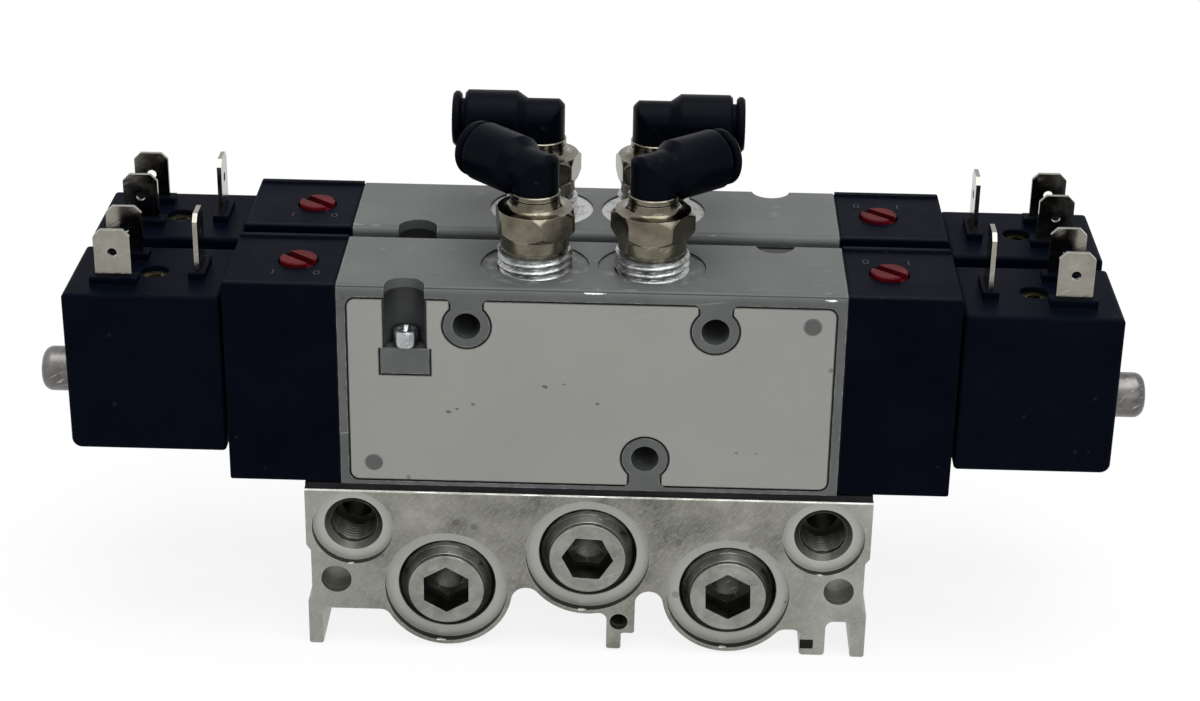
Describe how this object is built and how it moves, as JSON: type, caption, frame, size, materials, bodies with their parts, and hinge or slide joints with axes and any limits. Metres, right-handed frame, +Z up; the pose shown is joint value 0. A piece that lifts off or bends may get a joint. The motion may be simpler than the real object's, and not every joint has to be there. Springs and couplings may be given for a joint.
{
  "type": "pneumatic valve assembly",
  "caption": "Pneumatic spool valves with a solenoid coil at each end, side by side on an aluminium manifold with plugged ports, and swivel elbows on top.",
  "frame": {"origin": "on the plane of the manifold's feet, midway between its ends and between its front and back faces", "axes": "+X along the spools towards the right coils, -Y to the plugged front ports, +Z up to the elbows"},
  "size_m": [0.1968, 0.0511, 0.0938],
  "materials": {
    "manifold_aluminium": "milled and extruded aluminium, satin, with fine scratches",
    "plug_steel": "turned steel, satin",
    "gasket_rubber": "flat black rubber",
    "body_grey": "satin grey coat on die-cast aluminium",
    "plate_grey": "fine matt pale grey coat",
    "housing_black": "satin black moulded plastic",
    "coil_black": "satin black moulded plastic",
    "fitting_black": "smooth black moulded plastic",
    "override_red": "dark red moulded plastic",
    "tube_steel": "turned stainless steel",
    "fitting_nickel": "warm nickel plate",
    "screw_steel": "bright zinc plate",
    "insert_brass": "bright brass",
    "terminal_tin": "tinned brass sheet",
    "spool_aluminium": "turned aluminium",
    "seal_rubber": "black rubber",
    "spring_steel": "drawn steel wire"
  },
  "bodies": {
    "valve_block": {"front_gasket": "gasket_rubber", "front_left_armature_spring": "spring_steel", "front_left_armature_tube": "tube_steel", "front_left_coil": "coil_black", "front_left_pilot_housing": "housing_black", "front_left_stud": "fitting_nickel", "front_left_terminals": "terminal_tin", "front_right_armature_spring": "spring_steel", "front_right_armature_tube": "tube_steel", "front_right_coil": "coil_black", "front_right_pilot_housing": "housing_black", "front_right_stud": "fitting_nickel", "front_right_terminals": "terminal_tin", "front_side_plate": "plate_grey", "front_valve_body": "body_grey", "housing_gaskets": "gasket_rubber", "housing_screws": "screw_steel", "manifold_block": "manifold_aluminium", "mounting_screws": "screw_steel", "port_1_plug": "plug_steel", "port_3_plug": "plug_steel", "port_5_plug": "plug_steel", "rear_gasket": "gasket_rubber", "rear_left_armature_spring": "spring_steel", "rear_left_armature_tube": "tube_steel", "rear_left_coil": "coil_black", "rear_left_pilot_housing": "housing_black", "rear_left_stud": "fitting_nickel", "rear_left_terminals": "terminal_tin", "rear_right_armature_spring": "spring_steel", "rear_right_armature_tube": "tube_steel", "rear_right_coil": "coil_black", "rear_right_pilot_housing": "housing_black", "rear_right_stud": "fitting_nickel", "rear_right_terminals": "terminal_tin", "rear_side_plate": "plate_grey", "rear_valve_body": "body_grey", "terminal_inserts": "insert_brass"},
    "front_spool_set": {"front_spool": "spool_aluminium", "front_spool_seals": "seal_rubber", "front_pilot_pistons": "housing_black"},
    "rear_spool_set": {"rear_spool": "spool_aluminium", "rear_spool_seals": "seal_rubber", "rear_pilot_pistons": "housing_black"},
    "front_left_elbow_body": {"front_left_elbow": "fitting_black"},
    "front_left_collar_body": {"front_left_release_collar": "fitting_black"},
    "front_left_override_body": {"front_left_override": "override_red"},
    "front_left_armature_body": {"front_left_armature": "tube_steel"},
    "front_right_elbow_body": {"front_right_elbow": "fitting_black"},
    "front_right_collar_body": {"front_right_release_collar": "fitting_black"},
    "front_right_override_body": {"front_right_override": "override_red"},
    "front_right_armature_body": {"front_right_armature": "tube_steel"},
    "rear_left_elbow_body": {"rear_left_elbow": "fitting_black"},
    "rear_left_collar_body": {"rear_left_release_collar": "fitting_black"},
    "rear_left_override_body": {"rear_left_override": "override_red"},
    "rear_left_armature_body": {"rear_left_armature": "tube_steel"},
    "rear_right_elbow_body": {"rear_right_elbow": "fitting_black"},
    "rear_right_collar_body": {"rear_right_release_collar": "fitting_black"},
    "rear_right_override_body": {"rear_right_override": "override_red"},
    "rear_right_armature_body": {"rear_right_armature": "tube_steel"}
  },
  "joints": [
    {"name": "front_spool_slide", "type": "slide", "parent": "valve_block", "child": "front_spool_set", "axis": [1, 0, 0], "range_m": [0, 0.004]},
    {"name": "rear_spool_slide", "type": "slide", "parent": "valve_block", "child": "rear_spool_set", "axis": [1, 0, 0], "range_m": [0, 0.004]},
    {"name": "front_left_elbow_swivel", "type": "hinge", "parent": "valve_block", "child": "front_left_elbow_body", "pos_m": [-0.01027, -0.01325, 0.0885], "axis": [0, 0, 1], "range_deg": [-39, 136]},
    {"name": "front_left_collar_push", "type": "slide", "parent": "front_left_elbow_body", "child": "front_left_collar_body", "axis": [0.6947, -0.7193, 0], "range_m": [0, 0.0007], "stiffness_N_per_m": 2000},
    {"name": "front_left_override_turn", "type": "hinge", "parent": "valve_block", "child": "front_left_override_body", "pos_m": [-0.05185, -0.01325, 0.071], "axis": [0, 0, 1], "range_deg": [0, 90]},
    {"name": "front_left_armature_slide", "type": "slide", "parent": "valve_block", "child": "front_left_armature_body", "axis": [-1, 0, 0], "range_m": [0, 0.001], "stiffness_N_per_m": 500, "springref_m": -0.003, "deforming": ["front_left_armature_spring"]},
    {"name": "front_right_elbow_swivel", "type": "hinge", "parent": "valve_block", "child": "front_right_elbow_body", "pos_m": [0.01027, -0.01325, 0.0885], "axis": [0, 0, 1], "range_deg": [-130, 45]},
    {"name": "front_right_collar_push", "type": "slide", "parent": "front_right_elbow_body", "child": "front_right_collar_body", "axis": [-0.766, -0.6428, 0], "range_m": [0, 0.0007], "stiffness_N_per_m": 2000},
    {"name": "front_right_override_turn", "type": "hinge", "parent": "valve_block", "child": "front_right_override_body", "pos_m": [0.05185, -0.01325, 0.071], "axis": [0, 0, 1], "range_deg": [0, 90]},
    {"name": "front_right_armature_slide", "type": "slide", "parent": "valve_block", "child": "front_right_armature_body", "axis": [1, 0, 0], "range_m": [0, 0.001], "stiffness_N_per_m": 500, "springref_m": -0.003, "deforming": ["front_right_armature_spring"]},
    {"name": "rear_left_elbow_swivel", "type": "hinge", "parent": "valve_block", "child": "rear_left_elbow_body", "pos_m": [-0.01027, 0.01325, 0.0885], "axis": [0, 0, 1], "range_deg": [-120, 10]},
    {"name": "rear_left_collar_push", "type": "slide", "parent": "rear_left_elbow_body", "child": "rear_left_collar_body", "axis": [1, 0, 0], "range_m": [0, 0.0007], "stiffness_N_per_m": 2000},
    {"name": "rear_left_override_turn", "type": "hinge", "parent": "valve_block", "child": "rear_left_override_body", "pos_m": [-0.05185, 0.01325, 0.071], "axis": [0, 0, 1], "range_deg": [0, 90]},
    {"name": "rear_left_armature_slide", "type": "slide", "parent": "valve_block", "child": "rear_left_armature_body", "axis": [-1, 0, 0], "range_m": [0, 0.001], "stiffness_N_per_m": 500, "springref_m": -0.003, "deforming": ["rear_left_armature_spring"]},
    {"name": "rear_right_elbow_swivel", "type": "hinge", "parent": "valve_block", "child": "rear_right_elbow_body", "pos_m": [0.01027, 0.01325, 0.0885], "axis": [0, 0, 1], "range_deg": [-10, 120]},
    {"name": "rear_right_collar_push", "type": "slide", "parent": "rear_right_elbow_body", "child": "rear_right_collar_body", "axis": [-1, 0, 0], "range_m": [0, 0.0007], "stiffness_N_per_m": 2000},
    {"name": "rear_right_override_turn", "type": "hinge", "parent": "valve_block", "child": "rear_right_override_body", "pos_m": [0.05185, 0.01325, 0.071], "axis": [0, 0, 1], "range_deg": [0, 90]},
    {"name": "rear_right_armature_slide", "type": "slide", "parent": "valve_block", "child": "rear_right_armature_body", "axis": [1, 0, 0], "range_m": [0, 0.001], "stiffness_N_per_m": 500, "springref_m": -0.003, "deforming": ["rear_right_armature_spring"]}
  ]
}
